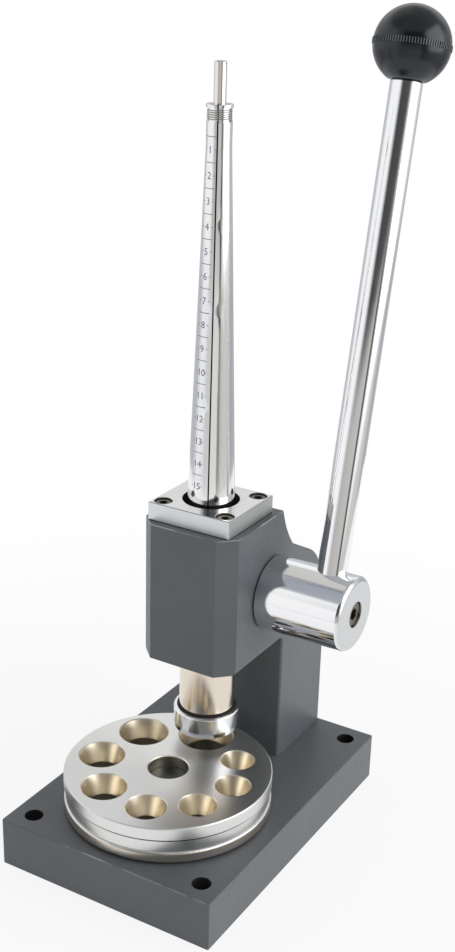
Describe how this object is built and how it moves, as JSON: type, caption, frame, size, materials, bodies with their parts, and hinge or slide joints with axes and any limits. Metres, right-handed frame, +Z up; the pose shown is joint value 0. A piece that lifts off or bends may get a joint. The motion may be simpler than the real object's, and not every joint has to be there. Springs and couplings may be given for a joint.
{
  "type": "ring stretcher",
  "caption": "Bench ring stretcher: lever, rack driven ram, expanding tapered mandrel and a turning plate of tapered reducing dies.",
  "frame": {"origin": "centre of the four bench bolt holes, on the underside of the base plate", "axes": "+Z up along the ram and the mandrel, +X towards the lever's side, -Y the front with the die plate"},
  "size_m": [0.1448, 0.194, 0.4332],
  "materials": {
    "grey_paint": "satin slate grey paint",
    "polished_steel": "polished",
    "die_steel": "turned and polished",
    "chrome": "bright chrome",
    "dark_screw_steel": "black oxide",
    "bronze": "machined bronze",
    "brass": "machined brass",
    "rubber": "matt black rubber",
    "black_plastic": "glossy black plastic",
    "spring_wire": "drawn wire"
  },
  "bodies": {
    "frame": {"base_plate": "grey_paint", "frame_casting": "grey_paint", "frame_bolts": "dark_screw_steel", "top_plate": "polished_steel", "top_plate_screws": "dark_screw_steel", "ram_bush_lower": "bronze", "ram_bush_upper": "bronze", "shaft_bush_right": "bronze", "shaft_bush_left": "bronze", "die_pivot": "polished_steel", "pivot_screw": "dark_screw_steel", "die_washer": "bronze", "mandrel_spring": "spring_wire", "mandrel_foot_ring": "rubber"},
    "lever": {"pinion_shaft": "polished_steel", "shaft_key": "polished_steel", "shaft_washer": "polished_steel", "shaft_retaining_ring": "dark_screw_steel", "lever_hub": "chrome", "hub_screw": "dark_screw_steel", "lever_rod": "chrome", "knob_insert": "brass", "ball_knob": "black_plastic"},
    "ram": {"ram": "polished_steel", "pusher_cup": "polished_steel", "cup_ring": "rubber", "expander_rod": "polished_steel", "rod_lock_nut": "dark_screw_steel"},
    "die_plate": {"die_plate": "die_steel"},
    "segment_right": {"mandrel_segment_right": "chrome"},
    "segment_back": {"mandrel_segment_back": "chrome"},
    "segment_left": {"mandrel_segment_left": "chrome"},
    "segment_front": {"mandrel_segment_front": "chrome"}
  },
  "joints": [
    {"name": "lever_turn", "type": "hinge", "parent": "frame", "child": "lever", "pos_m": [0, 0.0254, 0.1378], "axis": [1, 0, 0], "range_deg": [0, 45.8]},
    {"name": "ram_slide", "type": "slide", "parent": "frame", "child": "ram", "axis": [0, 0, -1], "range_m": [0, 0.0072]},
    {"name": "die_plate_turn", "type": "hinge", "parent": "frame", "child": "die_plate", "pos_m": [0, -0.0298, 0.028], "axis": [0, 0, 1], "continuous": true},
    {"name": "segment_right_slide", "type": "slide", "parent": "frame", "child": "segment_right", "axis": [0.9336, -0.3584, 0], "range_m": [0, 0.00102], "deforming": ["mandrel_spring", "mandrel_foot_ring"]},
    {"name": "segment_back_slide", "type": "slide", "parent": "frame", "child": "segment_back", "axis": [0.3584, 0.9336, 0], "range_m": [0, 0.00102]},
    {"name": "segment_left_slide", "type": "slide", "parent": "frame", "child": "segment_left", "axis": [-0.9336, 0.3584, 0], "range_m": [0, 0.00102]},
    {"name": "segment_front_slide", "type": "slide", "parent": "frame", "child": "segment_front", "axis": [-0.3584, -0.9336, 0], "range_m": [0, 0.00102]}
  ],
  "couplings": [
    {"joint": "ram_slide", "follows": "lever_turn", "m_per_rad": 0.009},
    {"joint": "segment_right_slide", "follows": "lever_turn", "m_per_rad": 0.0012728},
    {"joint": "segment_back_slide", "follows": "lever_turn", "m_per_rad": 0.0012728},
    {"joint": "segment_left_slide", "follows": "lever_turn", "m_per_rad": 0.0012728},
    {"joint": "segment_front_slide", "follows": "lever_turn", "m_per_rad": 0.0012728}
  ]
}
